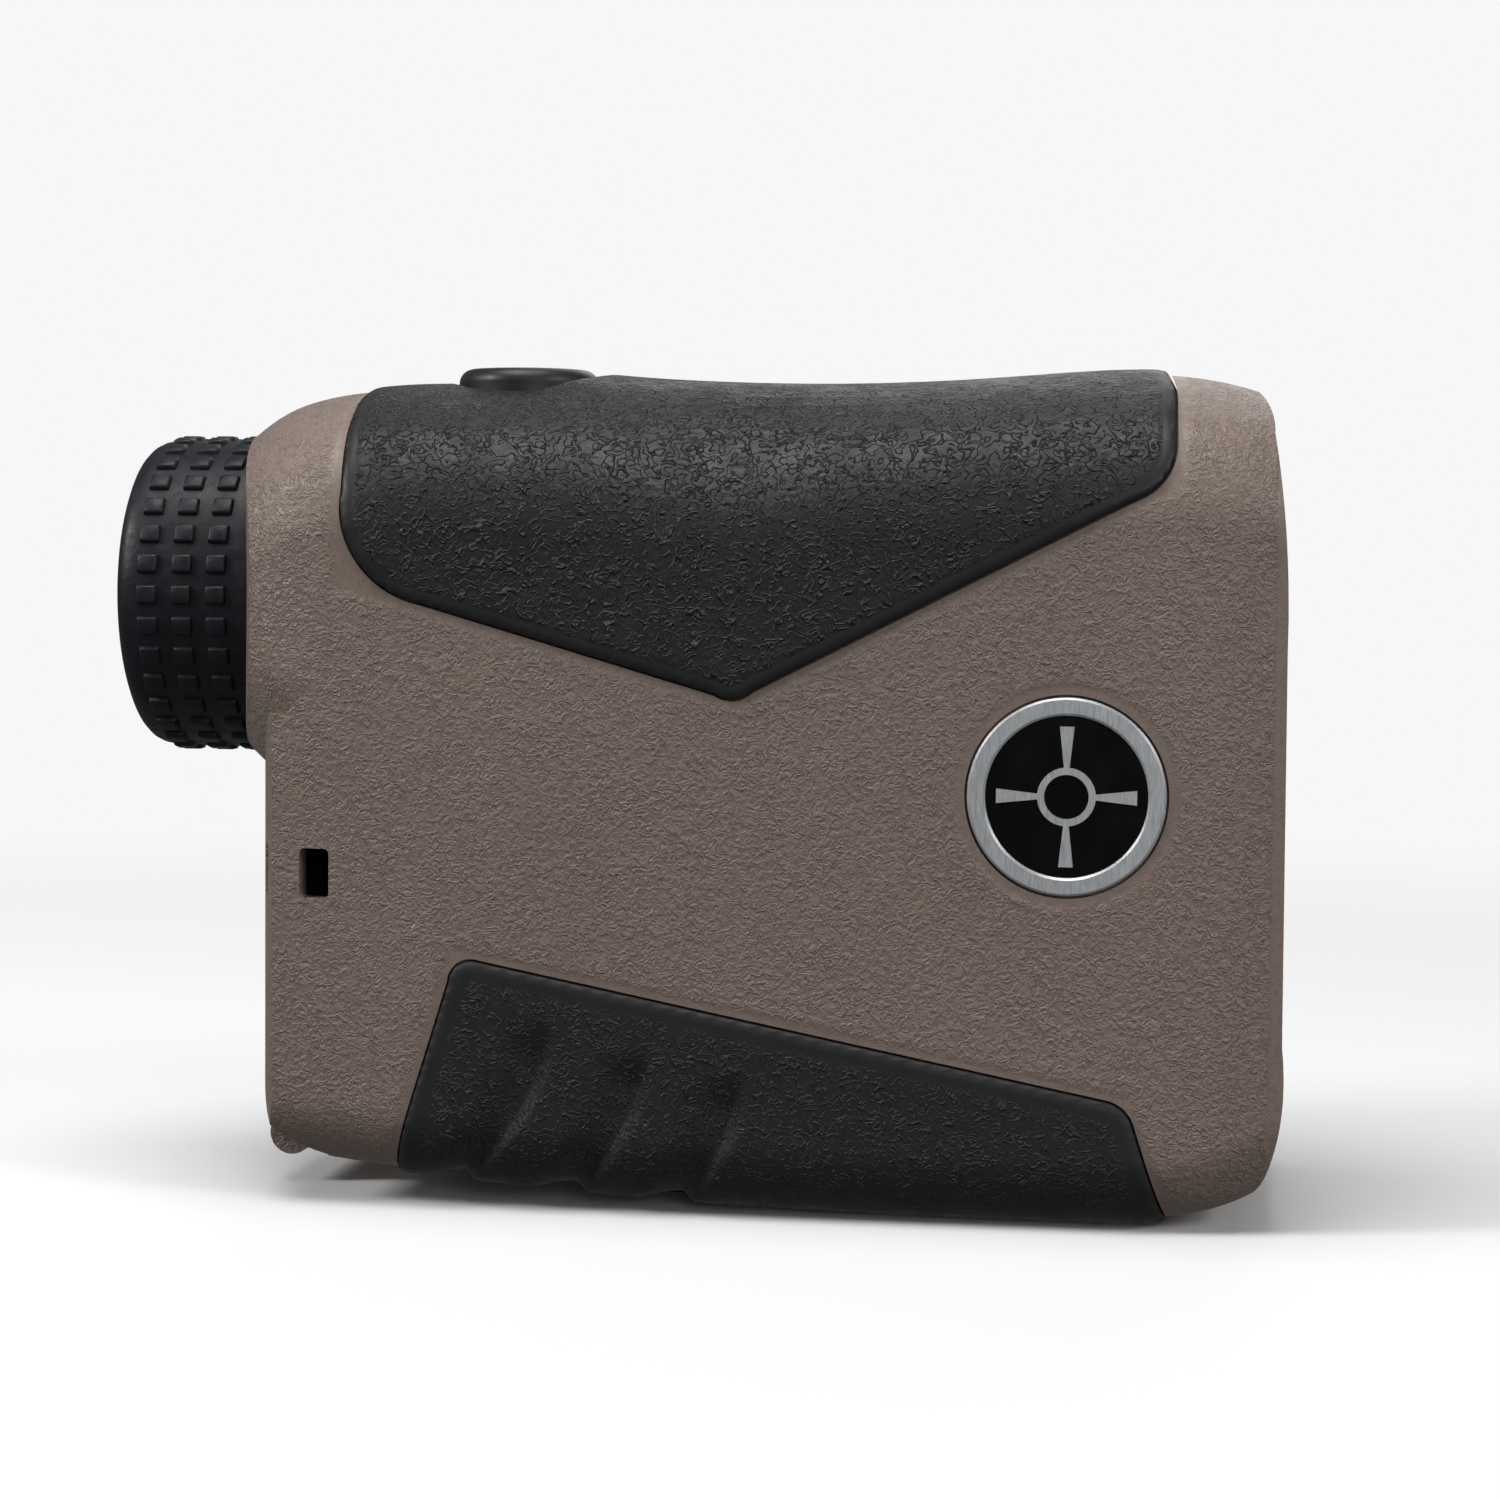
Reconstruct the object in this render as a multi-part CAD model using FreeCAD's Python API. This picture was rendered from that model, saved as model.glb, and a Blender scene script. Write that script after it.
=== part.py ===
import FreeCAD, Part
import math
import os

# Handheld laser rangefinder, millimetres.
# +X is the way it looks (objective end), +Z is up, +Y is the user's left.
# The origin is the middle of the footprint, on the surface that the sole stands on.

os.makedirs("parts", exist_ok=True)
V = FreeCAD.Vector

# ---- driving dimensions: casing ----
wall = 2.2                 # casing wall
half_width = 19.8          # casing, without the grips
rear_x = -40.5             # rear wall at the middle plane
rear_edge_x = -35.8        # rear wall where it meets the sides
dome_rear_x = -42.3        # rim of the dome round the eyepiece
dome_front_x = -30.6       # where the dome grows out of the casing
front_x = 52.35            # foremost edge of the casing
crown_r = 28.0             # cross-section: the top
shoulder_r = 11.0          # cross-section: top to side
sole_corner_r = 6.0        # cross-section: side to sole

# ---- optical axes ----
eye_z = 53.9
objective_z = 52.0
laser_z = 28.5

# ---- grips ----
grip_proud = 0.5
grip_sunk = 1.2
grip_gap = 0.18

# ---- eyepiece ----
ring_rear_x = -52.5
ring_front_x = -37.7
ring_r = 14.25
knob_height = 0.4
carrier_r = 13.3
tube_r = 11.8
cell_r = 10.3
running_gap = 0.08

# ---- buttons ----
fire_x = -17.3
fire_r = 6.4
fire_top_z = 74.75
mode_x = -12.0
mode_z = 35.0
mode_r = 4.8

# ---- battery (CR2 cell) and its door ----
battery_r = 7.8
battery_length = 27.0
battery_z = 16.0
battery_rear_x = -35.4
hinge_x = -37.4
hinge_z = 4.6
hinge_r = 2.0
barrel_half = 6.0          # the door's barrel, between the two lugs
lug_width = 2.2
door_half_width = 9.6
door_top_z = 30.5

# ---- badge and lanyard eye ----
badge_x = 33.8
badge_z = 37.6
badge_r = 8.5
slot_x = -32.25
slot_z = 29.6
slot_width = 2.7
slot_height = 4.4

# ---- tripod insert, 1/4-20 UNC ----
tripod_x = 6.0
tripod_minor_r = 2.6
tripod_length = 8.5


# ---- small helpers ----

def save(name, shape):
    """One node, one STEP file."""
    shape.exportStep("parts/" + name + ".step")


def box(x0, x1, y0, y1, z0, z1):
    return Part.makeBox(x1 - x0, y1 - y0, z1 - z0, V(x0, y0, z0))


def rod_x(x0, x1, radius, z, y=0.0):
    return Part.makeCylinder(radius, x1 - x0, V(x0, y, z), V(1, 0, 0))


def rod_y(y0, y1, radius, x, z):
    return Part.makeCylinder(radius, y1 - y0, V(x, y0, z), V(0, 1, 0))


def rod_z(z0, z1, radius, x, y=0.0):
    return Part.makeCylinder(radius, z1 - z0, V(x, y, z0), V(0, 0, 1))


def tube_x(x0, x1, inner, outer, z):
    return rod_x(x0, x1, outer, z).cut(rod_x(x0 - 1, x1 + 1, inner, z))


def path(points, place):
    """A closed wire. A point is (a, b), or (a, b, c, d) for an arc through (a, b) to (c, d)."""
    edges = []
    here = points[0]
    for step in points[1:] + [points[0]]:
        if math.dist(here, step[-2:]) < 1e-6:
            continue
        if len(step) == 4:
            edges.append(Part.Arc(place(*here), place(*step[:2]), place(*step[2:])).toShape())
        else:
            edges.append(Part.LineSegment(place(*here), place(*step)).toShape())
        here = step[-2:]
    return Part.Wire(edges)


def side_prism(points, y0, y1):
    """An outline in the X-Z plane, pushed along Y."""
    wire = path(points, lambda x, z: V(x, y0, z))
    return Part.Face(wire).extrude(V(0, y1 - y0, 0))


def plan_prism(points, z0, z1):
    """An outline in the X-Y plane, pushed up Z."""
    wire = path(points, lambda x, y: V(x, y, z0))
    return Part.Face(wire).extrude(V(0, 0, z1 - z0))


def turned(points, z):
    """An outline of (x, radius), turned about the X axis at height z."""
    wire = path(points, lambda x, r: V(x, 0, z + r))
    return Part.Face(wire).revolve(V(0, 0, z), V(1, 0, 0), 360)


def rounded_plate(x0, x1, half_y, z0, z1, radius):
    """A plate across X with rounded corners."""
    plate = box(x0, x1, -half_y, half_y, z0, z1)
    corners = [e for e in plate.Edges if abs(e.tangentAt(e.FirstParameter).x) > 0.9]
    return plate.makeFillet(radius, corners)


def lens(x0, x1, radius, bulge0, bulge1, z):
    """A lens between x0 and x1 at its rim. A face bulges out by its height, or in if negative."""
    glass = rod_x(x0 - max(bulge0, 0), x1 + max(bulge1, 0), radius, z)
    for rim, bulge, inward in ((x0, bulge0, 1), (x1, bulge1, -1)):
        if bulge == 0:
            continue
        ball_r = (radius ** 2 + bulge ** 2) / (2 * abs(bulge))
        side = 1 if bulge > 0 else -1
        ball = Part.makeSphere(ball_r, V(rim + inward * side * (ball_r - abs(bulge)), 0, z))
        glass = glass.common(ball) if bulge > 0 else glass.cut(ball)
    return glass


# ---- the casing's outer form ----

def section(x, half, top, bottom, crown, shoulder, corner, grow):
    """The casing's cross-section at x: crowned top, round shoulders, flat sides and sole."""
    half, top, bottom = half + grow, top + grow, bottom - grow
    crown, shoulder, corner = crown + grow, shoulder + grow, corner + grow
    reach = half - shoulder
    lift = math.sqrt((crown - shoulder) ** 2 - reach ** 2)
    shoulder_z = top - crown + lift
    lean = math.atan2(lift, reach)

    def at(cy, cz, radius, angle):
        return (cy + radius * math.cos(angle), cz + radius * math.sin(angle))

    turn = at(reach, shoulder_z, shoulder, lean)
    bend = at(reach, shoulder_z, shoulder, lean / 2)
    foot = at(half - corner, bottom + corner, corner, -math.pi / 4)
    points = [(corner - half, bottom), (half - corner, bottom),
              foot + (half, bottom + corner),
              (half, shoulder_z),
              bend + turn,
              (0, top, -turn[0], turn[1]),
              (-bend[0], bend[1], -half, shoulder_z),
              (-half, bottom + corner),
              (-foot[0], foot[1], corner - half, bottom)]
    return path(points, lambda y, z: V(x, y, z))


def casing_loft(grow):
    """The casing without its rear wall and front corners: half-width, top and sole along X."""
    stations = [(-44, 19.8, 72.3, 4.7), (dome_front_x, 19.8, 72.68, 3.4), (-18, 19.8, 72.95, 2.3),
                (-3, 19.8, 72.9, 1.3), (12, 19.8, 72.95, 0.8), (27, 19.8, 73.65, 0.6),
                (38, 19.8, 74.35, 0.62), (43, 19.6, 74.2, 0.85), (48, 18.85, 73.3, 2.0),
                (53, 17.5, 71.6, 4.6)]
    rings = [section(x, half, top, sole, crown_r, shoulder_r, sole_corner_r, grow)
             for x, half, top, sole in stations]
    return Part.makeLoft(rings, True, False)


def side_form():
    """Seen from the side: the rounded heel, the front face and its corners."""
    heel_r = 13.0
    heel = (-27.5, 16.3)
    low = (heel[0] - heel_r * math.sin(0.35), heel[1] - heel_r * math.cos(0.35))
    mid = (heel[0] - heel_r * math.sin(1.0), heel[1] - heel_r * math.cos(1.0))
    return side_prism([(low[0], -4), low, mid + (heel[0] - heel_r, heel[1]),
                       (heel[0] - heel_r, 90), (46.0, 90), (46.0, 74.6),
                       (49.3, 72.9, 50.9, 68.8),
                       (51.9, 61.0, 52.25, 50.0),
                       (front_x, 16.0),
                       (52.2, 9.0, 51.0, 4.6),
                       (50.0, 3.0, 48.0, 1.4), (48.0, -4)], -40, 40)


def crown_form(rear, grow=0.0):
    """Seen from above: everything ahead of the bowed rear wall."""
    bow = rear_edge_x - rear_x
    return plan_prism([(60, -26), (60, 26), (rear + bow * 26 ** 2 / half_width ** 2 - grow, 26),
                       (rear - grow, 0, rear + bow * 26 ** 2 / half_width ** 2 - grow, -26)],
                      -10, 100)


def dome_form(grow):
    """The upper rear of the casing narrows to a round rim about the eyepiece."""
    stations = [(dome_front_x, 19.8, 72.68, 36.0, crown_r, shoulder_r, 10.0),
                (-33.3, 19.65, 72.5, 36.2, 27.0, 11.4, 10.6),
                (-36.0, 19.0, 72.0, 36.7, 24.5, 12.2, 11.6),
                (-38.6, 17.8, 71.15, 37.4, 21.0, 13.2, 12.8),
                (-40.8, 16.3, 69.9, 38.3, 17.6, 14.0, 13.9),
                (-42.6, 14.75, 68.6, 39.2, 14.75, 14.6, 14.6)]
    return Part.makeLoft([section(*s, grow) for s in stations], True, False)


def casing_form():
    lower = casing_loft(0).common(side_form()).common(crown_form(rear_x))
    shoulder_cut = side_prism([(-50, 43.6), (-35.0, 43.6), (dome_front_x, 48.0), (dome_front_x, 90),
                               (-50, 90)], -40, 40)
    lower = lower.cut(shoulder_cut)
    upper = dome_form(0).common(crown_form(dome_rear_x))
    return lower.fuse(upper).removeSplitter()


# ---- outlines of the grips, seen from the side ----

top_grip_outline = [(-31.2, 90), (-31.2, 72.2), (-30.6, 69.5, -29.9, 63.0),
                    (-28.4, 57.2, -22.6, 53.45),
                    (3.4, 45.95),
                    (5.0, 45.5, 6.6, 46.2),
                    (39.3, 62.9),
                    (41.8, 64.9, 42.6, 67.7),
                    (42.4, 71.2), (41.8, 73.6, 40.3, 75.6), (40.3, 90)]

lower_grip_outline = [(-27.5, -4), (-20.0, 20.3),
                      (-19.1, 21.9, -17.4, 22.1),
                      (37.5, 11.5),
                      (38.9, 10.8, 39.8, 9.3),
                      (44.1, -4)]


def grip_block(outline, clearance):
    """The outline pushed through the casing, widened by a clearance."""
    wire = path(outline, lambda x, z: V(x, -30, z))
    if clearance:
        wire = wire.makeOffset2D(clearance)
    return Part.Face(wire).extrude(V(0, 60, 0))


# ---- casing halves ----

screw_posts = [(2.0, 68.3), (33.0, 68.9), (-1.5, 5.2), (29.0, 5.2)]   # (x, z) of the case screws
bezel_posts = [(12.2, 40.6), (-12.2, 40.6), (10.5, 12.6), (-10.5, 12.6)]  # (y, z)
bezel_rear_x = 49.7
bezel_front_x = 51.2


def casing_cavity():
    inner = casing_loft(-wall)
    main = inner.common(box(-34.6, 47.4, -40, 40, -5, 90)).common(side_inner())
    low = inner.common(box(-38.3, -34.0, -40, 40, 3, 35.4)).common(crown_form(rear_x + wall))
    return main.fuse(low.common(side_inner()))


def side_inner():
    """The cavity keeps off the heel and the front corners."""
    return side_prism([(-29.0, 5.6), (-36.2, 9.0, -38.6, 16.3), (-38.6, 90), (44, 90), (44, 71.9),
                       (48.4, 69.0), (49.4, 60), (49.4, 8), (46, 3.4), (40, 2.4), (2, 2.6)], -40, 40)


def casing_body():
    """Both halves still in one piece, with every opening cut."""
    body = casing_form().cut(casing_cavity())
    # front: a seat for the bezel and the opening behind it
    body = body.cut(rounded_plate(bezel_rear_x - 0.4, 60, 14.9, 8.4, 66.1, 9.0))
    body = body.cut(rounded_plate(45.0, 55.0, 13.2, 10.6, 65.3, 7.4))
    # rear: the eyepiece ring's counterbore and the tube's bore
    body = body.cut(rod_x(-60, ring_front_x + 0.4, 15.0, eye_z))
    body = body.cut(rod_x(-60, -30, tube_r + 0.05, eye_z))
    # grip pockets
    sunk = casing_loft(-grip_sunk)
    for outline in (top_grip_outline, lower_grip_outline):
        skin = grip_block(outline, grip_gap).cut(sunk)
        body = body.cut(skin.common(box(-31.5, 46, -40, 40, -10, 100)))
    # fire button, mode button, battery door, badge, lanyard eye
    body = body.cut(rod_z(66, 90, fire_r + 0.15, fire_x))
    body = body.cut(rod_y(10, 40, mode_r + 0.15, mode_x, mode_z))
    body = body.cut(door_block(0.35))
    body = body.cut(rod_y(-25, -half_width + 1.0, badge_r + 0.22, badge_x, badge_z))
    body = body.cut(lanyard_eye())
    return body


def lanyard_eye():
    """A slot in the right side and one in the rear wall leave a post for the lanyard."""
    side = box(slot_x - slot_width / 2, slot_x + slot_width / 2, -22, -half_width + wall + 0.5,
               slot_z - slot_height / 2, slot_z + slot_height / 2)
    rear = box(-44, -33.4, -half_width + wall + 0.2, -half_width + wall + 3.2,
               slot_z - slot_height / 2, slot_z + slot_height / 2)
    inner = box(slot_x - slot_width / 2, -30.9, -half_width + wall - 0.1, -half_width + wall + 3.2,
                slot_z - slot_height / 2, slot_z + slot_height / 2)
    side = side.makeFillet(0.5, [e for e in side.Edges if abs(e.tangentAt(e.FirstParameter).y) > 0.9])
    return side.fuse(rear).fuse(inner)


def screw_post(x, z, hole):
    """A post along Y from wall to wall, joined to the casing, with a screw hole."""
    post = rod_y(-18.5, 18.5, 2.6, x, z).common(casing_loft(-grip_sunk - 0.2))
    return post, rod_y(-9.5, 30, hole, x, z)


def casing_halves():
    body = casing_body()
    for x, z in screw_posts:
        post, hole = screw_post(x, z, 1.03)
        body = body.fuse(post).cut(hole).cut(rod_y(7.8, 30, 1.95, x, z))
    for y, z in bezel_posts:
        post = rod_x(40.0, bezel_rear_x - 0.4, 2.2, z, y).fuse(
            box(40.0, bezel_rear_x - 0.4, min(y, y * 1.45), max(y, y * 1.45), z - 1.2, z + 1.2))
        body = body.fuse(post.common(casing_loft(-0.6))).cut(rod_x(42, 60, 0.83, z, y))
    # boss for the tripod insert, ribs that hold the battery tube
    boss = rod_z(1.2, 11.0, 6.2, tripod_x).common(casing_loft(-grip_sunk - 0.02))
    body = body.fuse(boss).cut(rod_z(-5, 12, 4.55, tripod_x))
    for x in (-30.5, -12.0):
        rib = box(x - 0.9, x + 0.9, -19, 19, 1, 25).common(casing_loft(-wall + 0.4))
        body = body.fuse(rib)
    body = body.cut(rod_x(-39, -5.6, 9.35, battery_z))
    body = body.cut(box(-36, -5, 10.6, 17, 7, 40))
    # hinge lugs either side of the door's barrel
    for y in (-barrel_half - 0.35 - lug_width, barrel_half + 0.35):
        lug = rod_y(y, y + lug_width, hinge_r, hinge_x, hinge_z).fuse(
            box(hinge_x, hinge_x + 5, y, y + lug_width, hinge_z - 0.4, hinge_z + 2.0))
        body = body.fuse(lug)
    body = body.cut(rod_y(-8.6, 8.6, 0.82, hinge_x, hinge_z))
    body = body.removeSplitter()
    left = body.common(box(-60, 60, 0, 40, -10, 100))
    right = body.common(box(-60, 60, -40, 0, -10, 100))
    return biggest(left), biggest(right)


def biggest(shape):
    """The largest solid of a shape: offcuts of a boolean are dropped."""
    return max(shape.Solids, key=lambda s: s.Volume)


# ---- grips ----

def grip(outline, holes):
    shell = casing_loft(grip_proud).cut(casing_loft(-grip_sunk + 0.02))
    piece = shell.common(grip_block(outline, 0))
    for hole in holes:
        piece = piece.cut(hole)
    return biggest(piece)


def top_grip():
    return grip(top_grip_outline, [rod_z(60, 90, fire_r + 0.3, fire_x)])


def lower_grip():
    pad = plan_prism([(-7, -8), (19, -8), (21, 0, 19, 8), (-7, 8), (-9, 0, -7, -8)], 0.0, 2.0)
    piece = grip(lower_grip_outline, []).fuse(pad.cut(casing_loft(-grip_sunk + 0.02)))
    return biggest(piece.cut(rod_z(-5, 12, 4.9, tripod_x)).removeSplitter())


# ---- front end ----

def front_bezel():
    plate = rounded_plate(bezel_rear_x, bezel_front_x, 14.75, 8.55, 65.95, 8.85)
    plate = plate.cut(turned([(48, 0), (48, 11.4), (50.2, 11.4), (52, 12.7), (52, 0)], objective_z))
    plate = plate.cut(turned([(48, 0), (48, 7.6), (50.2, 7.6), (52, 8.7), (52, 0)], laser_z))
    for y, z in bezel_posts:
        plate = plate.cut(rod_x(48, 60, 0.95, z, y)).cut(rod_x(50.5, 60, 1.65, z, y))
    return plate


def front_gasket():
    outer = rounded_plate(bezel_rear_x - 0.4, bezel_rear_x, 14.6, 8.7, 65.8, 8.7)
    gasket = outer.cut(rounded_plate(48, 52, 13.3, 10.5, 65.4, 7.5))
    for y, z in bezel_posts:
        gasket = gasket.cut(rod_x(48, 52, 2.3, z, y))
    return biggest(gasket)


def bezel_screws():
    screws = []
    for y, z in bezel_posts:
        screw = rod_x(43.5, 50.6, 0.8, z, y).fuse(rod_x(50.5, 51.15, 1.5, z, y))
        slot = box(50.85, 52, y - 1.1, y + 1.1, z - 0.18, z + 0.18)
        cross = box(50.85, 52, y - 0.18, y + 0.18, z - 1.1, z + 1.1)
        screws.append(screw.cut(slot).cut(cross))
    return Part.makeCompound(screws)


def case_screws():
    screws = []
    for x, z in screw_posts:
        screw = rod_y(-8.5, 8.0, 1.0, x, z).fuse(rod_y(7.85, 9.1, 1.8, x, z))
        slot = box(x - 1.3, x + 1.3, 8.6, 10, z - 0.2, z + 0.2)
        cross = box(x - 0.2, x + 0.2, 8.6, 10, z - 1.3, z + 1.3)
        screws.append(screw.cut(slot).cut(cross))
    return Part.makeCompound(screws)


def optics_frame():
    """The chassis that carries both barrels, the prisms and the display."""
    plate = rounded_plate(36.0, 38.6, 14.6, 18.0, 66.4, 3.0)
    shelf = box(-16.0, 36.5, -10.5, 10.5, 38.9, 40.6)
    frame = plate.fuse(shelf)
    frame = frame.cut(rod_x(30, 45, 13.05, objective_z)).cut(rod_x(30, 45, 9.45, laser_z))
    frame = frame.cut(rod_z(35, 45, 4.3, 1.0))
    return frame.removeSplitter()


def objective_cell():
    barrel = turned([(34.0, 10.9), (34.0, 13.0), (48.9, 13.0), (48.9, 12.05), (43.0, 12.05),
                     (43.0, 10.9)], objective_z)
    return barrel


def objective_lens():
    return lens(43.05, 46.6, 12.0, -1.0, 1.9, objective_z)


def objective_retainer():
    return turned([(46.9, 11.3), (46.9, 12.0), (48.9, 12.0), (48.9, 11.5)], objective_z)


def laser_tube():
    return turned([(14.0, 7.6), (14.0, 9.4), (49.0, 9.4), (49.0, 8.55), (44.5, 8.55), (44.5, 7.6)], laser_z)


def laser_lens():
    return lens(44.55, 46.8, 8.5, -0.6, 1.3, laser_z)


def laser_retainer():
    return turned([(47.1, 7.7), (47.1, 8.5), (49.0, 8.5), (49.0, 7.9)], laser_z)


def laser_diode():
    mount = rod_x(11.5, 14.0, 9.4, laser_z)
    can = rod_x(10.2, 16.5, 2.35, laser_z).fuse(rod_x(10.2, 11.5, 2.8, laser_z))
    return mount.fuse(can).removeSplitter()


def laser_board():
    board = rod_x(8.6, 10.2, 9.0, laser_z)
    return board.common(box(8, 11, -7.5, 7.5, 20, 37))


def prism_holder():
    """A channel with a foot, open at both ends for the light."""
    outer = box(-4.0, 27.0, -10.5, 10.5, 40.6, 65.2)
    inner = box(-5.0, 28.0, -8.9, 8.9, 42.2, 63.7)
    return outer.cut(inner).cut(rod_z(40, 45, 4.3, 1.0))


def half_penta_prism():
    return side_prism([(26.0, 43.2), (26.0, 60.9), (12.6, 60.9), (7.5, 48.6), (7.5, 43.2)], -8.6, 8.6)


def roof_prism():
    """The far side of the pair, its top ground to a roof edge."""
    block = side_prism([(-3.0, 44.2), (7.2, 44.2), (7.2, 49.6), (12.0, 61.2), (9.6, 63.2), (-3.0, 63.2)],
                       -8.6, 8.6)
    for side in (1, -1):
        slope = path([(0, 63.3), (side * 12, 57.0), (side * 12, 66), (0, 66)], lambda y, z: V(-6, y, z))
        block = block.cut(Part.Face(slope).extrude(V(20, 0, 0)))
    return block


def receiver_module():
    board = box(-6.0, 8.0, -6.5, 6.5, 29.4, 30.8)
    can = rod_z(30.8, 38.2, 4.1, 1.0)
    window = rod_z(38.2, 38.8, 2.2, 1.0)
    return board.fuse(can).fuse(window).removeSplitter()


def display_frame():
    frame = box(-14.6, -11.0, -9.8, 9.8, 40.6, 62.4)
    frame = frame.cut(rod_x(-16, -10, 7.4, eye_z))
    return frame.cut(box(-13.4, -11.9, -8.3, 8.3, 45.6, 61.6))


def display_glass():
    return box(-13.3, -12.0, -8.1, 8.1, 45.7, 61.5)


# ---- eyepiece ----

def eyepiece_tube():
    """Fixed to the casing by its flange; the ring turns round it, the cell slides in it."""
    inner = cell_r + running_gap
    return turned([(-49.0, inner), (-49.0, tube_r), (-34.6, tube_r), (-34.6, 13.4), (-33.0, 13.4),
                   (-33.0, tube_r), (-27.0, tube_r), (-27.0, inner)], eye_z)


def ocular_cell():
    return turned([(-48.2, 9.1), (-48.2, cell_r), (-29.0, cell_r), (-29.0, 8.2), (-30.0, 8.2),
                   (-30.0, 9.5), (-34.0, 9.5), (-34.0, 8.2), (-42.4, 8.2), (-42.4, 9.1)], eye_z)


def eye_lens():
    return lens(-46.5, -42.65, 9.05, 0.5, 1.2, eye_z)


def ocular_retainer():
    return turned([(-48.2, 8.2), (-48.2, 9.05), (-46.65, 9.05), (-46.65, 8.2)], eye_z)


def field_lens():
    return lens(-33.95, -31.0, 9.45, 0.0, 0.9, eye_z)


def diopter_carrier():
    inner = tube_r + running_gap
    return turned([(-50.6, 10.9), (-50.6, carrier_r), (ring_front_x, carrier_r), (ring_front_x, inner),
                   (-49.4, inner), (-49.4, 10.9)], eye_z)


def diopter_ring():
    """Rubber sleeve with a round rear lip and three rows of square knobs."""
    sleeve = turned([(-50.65, carrier_r), (-50.65, 12.6), (ring_rear_x, 12.6),
                     (ring_rear_x, 12.9),
                     (ring_rear_x + 0.55, 13.8, ring_rear_x + 2.0, ring_r + 0.05),
                     (ring_front_x, ring_r), (ring_front_x, carrier_r)], eye_z)
    return sleeve.fuse(knob_bands()).removeSplitter()


def knob_bands():
    """The three knobbed bands as plain raised bands."""
    bands = [tube_x(x - 0.95, x + 0.95, ring_r - 0.3, ring_r + knob_height, eye_z)
             for x in (-49.3, -46.1, -42.9)]
    return bands[0].fuse(bands[1]).fuse(bands[2])


def eyecup():
    """Soft inner ring that the eye meets, ahead of the lens."""
    return turned([(-50.7, 10.9), (ring_rear_x + 0.15, 11.9), (ring_rear_x + 0.15, 12.55), (-50.7, 12.55)],
                  eye_z)


# ---- electronics ----

def main_board():
    board = box(-26.0, 34.0, 12.6, 13.8, 9.2, 38.5)
    for x, z, width, height in [(-22, 16, 9, 9), (14, 12, 12, 7), (24, 24, 5, 5), (4, 26, 5, 3)]:
        board = board.fuse(box(x, x + width, 11.3, 12.6, z, z + height))
    return board.removeSplitter()


def button_board():
    return rounded_like_z(box(-24.5, -10.2, -6.0, 6.0, 62.5, 63.5), 1.5)


def rounded_like_z(block, radius):
    upright = [e for e in block.Edges if abs(e.tangentAt(e.FirstParameter).z) > 0.9]
    return block.makeFillet(radius, upright)


def fire_switch():
    body = box(fire_x - 3, fire_x + 3, -3, 3, 63.5, 66.0)
    return body.fuse(rod_z(66.0, 66.6, 1.7, fire_x)).removeSplitter()


def mode_switch():
    body = box(mode_x - 3, mode_x + 3, 13.8, 15.3, mode_z - 3, mode_z + 3)
    stud = rod_y(15.3, 15.75, 1.5, mode_x, mode_z)
    return body.fuse(stud).removeSplitter()


# ---- buttons ----

def fire_button():
    cap = rod_z(68.0, fire_top_z, fire_r, fire_x)
    rim = [e for e in cap.Edges if abs(e.BoundBox.ZMax - fire_top_z) < 1e-6 and e.BoundBox.ZLength < 1e-6]
    cap = cap.makeFillet(1.3, rim)
    flange = rod_z(68.0, 69.2, fire_r + 1.0, fire_x)
    stem = rod_z(67.35, 68.1, 1.8, fire_x)
    return cap.fuse(flange).fuse(stem).removeSplitter()


def mode_button():
    cap = rod_y(16.6, half_width + 0.35, mode_r, mode_x, mode_z)
    rim = [e for e in cap.Edges if abs(e.BoundBox.YMax - half_width - 0.35) < 1e-6 and e.BoundBox.YLength < 1e-6]
    cap = cap.makeFillet(0.8, rim)
    return cap.fuse(rod_y(16.5, 17.15, mode_r + 0.7, mode_x, mode_z)).removeSplitter()


# ---- battery, its tube and door ----

def door_block(clearance):
    """The space of the door in the rear wall."""
    return box(-50, -36.9, -door_half_width - clearance, door_half_width + clearance,
               -5, door_top_z + clearance)


def battery_door():
    skin = casing_loft(0).common(side_form()).common(crown_form(rear_x))
    panel = skin.common(box(-50, -37.0, -door_half_width, door_half_width, 5.0, door_top_z))
    barrel = rod_y(-barrel_half, barrel_half, hinge_r, hinge_x, hinge_z)
    web = box(hinge_x - 1.6, -37.2, -barrel_half, barrel_half, hinge_z, 9.4)
    grip_lip = box(-41.2, -39.4, -4.0, 4.0, door_top_z - 1.3, door_top_z)
    door = panel.fuse(barrel).fuse(web).fuse(grip_lip)
    return biggest(door.cut(rod_y(-30, 30, 0.87, hinge_x, hinge_z)).removeSplitter())


def hinge_pin():
    return rod_y(-8.5, 8.5, 0.8, hinge_x, hinge_z)


def door_contact():
    plate = box(-37.0, -36.4, -4.5, 4.5, 9.5, 22.5)
    return plate.fuse(rod_x(-36.4, -35.6, 2.2, battery_z)).removeSplitter()


def battery_tube():
    barrel = tube_x(-36.0, -6.0, battery_r + 0.35, 9.3, battery_z)
    return barrel.fuse(tube_x(-7.2, -6.0, 2.2, 8.5, battery_z)).removeSplitter()


def battery():
    cell = rod_x(battery_rear_x, battery_rear_x + battery_length - 1.2, battery_r, battery_z)
    rim = [e for e in cell.Edges if e.BoundBox.XLength < 1e-6]
    cell = cell.makeFillet(0.6, rim)
    nub = rod_x(battery_rear_x + battery_length - 1.3, battery_rear_x + battery_length - 0.2, 2.8, battery_z)
    return cell.fuse(nub).removeSplitter()


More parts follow.
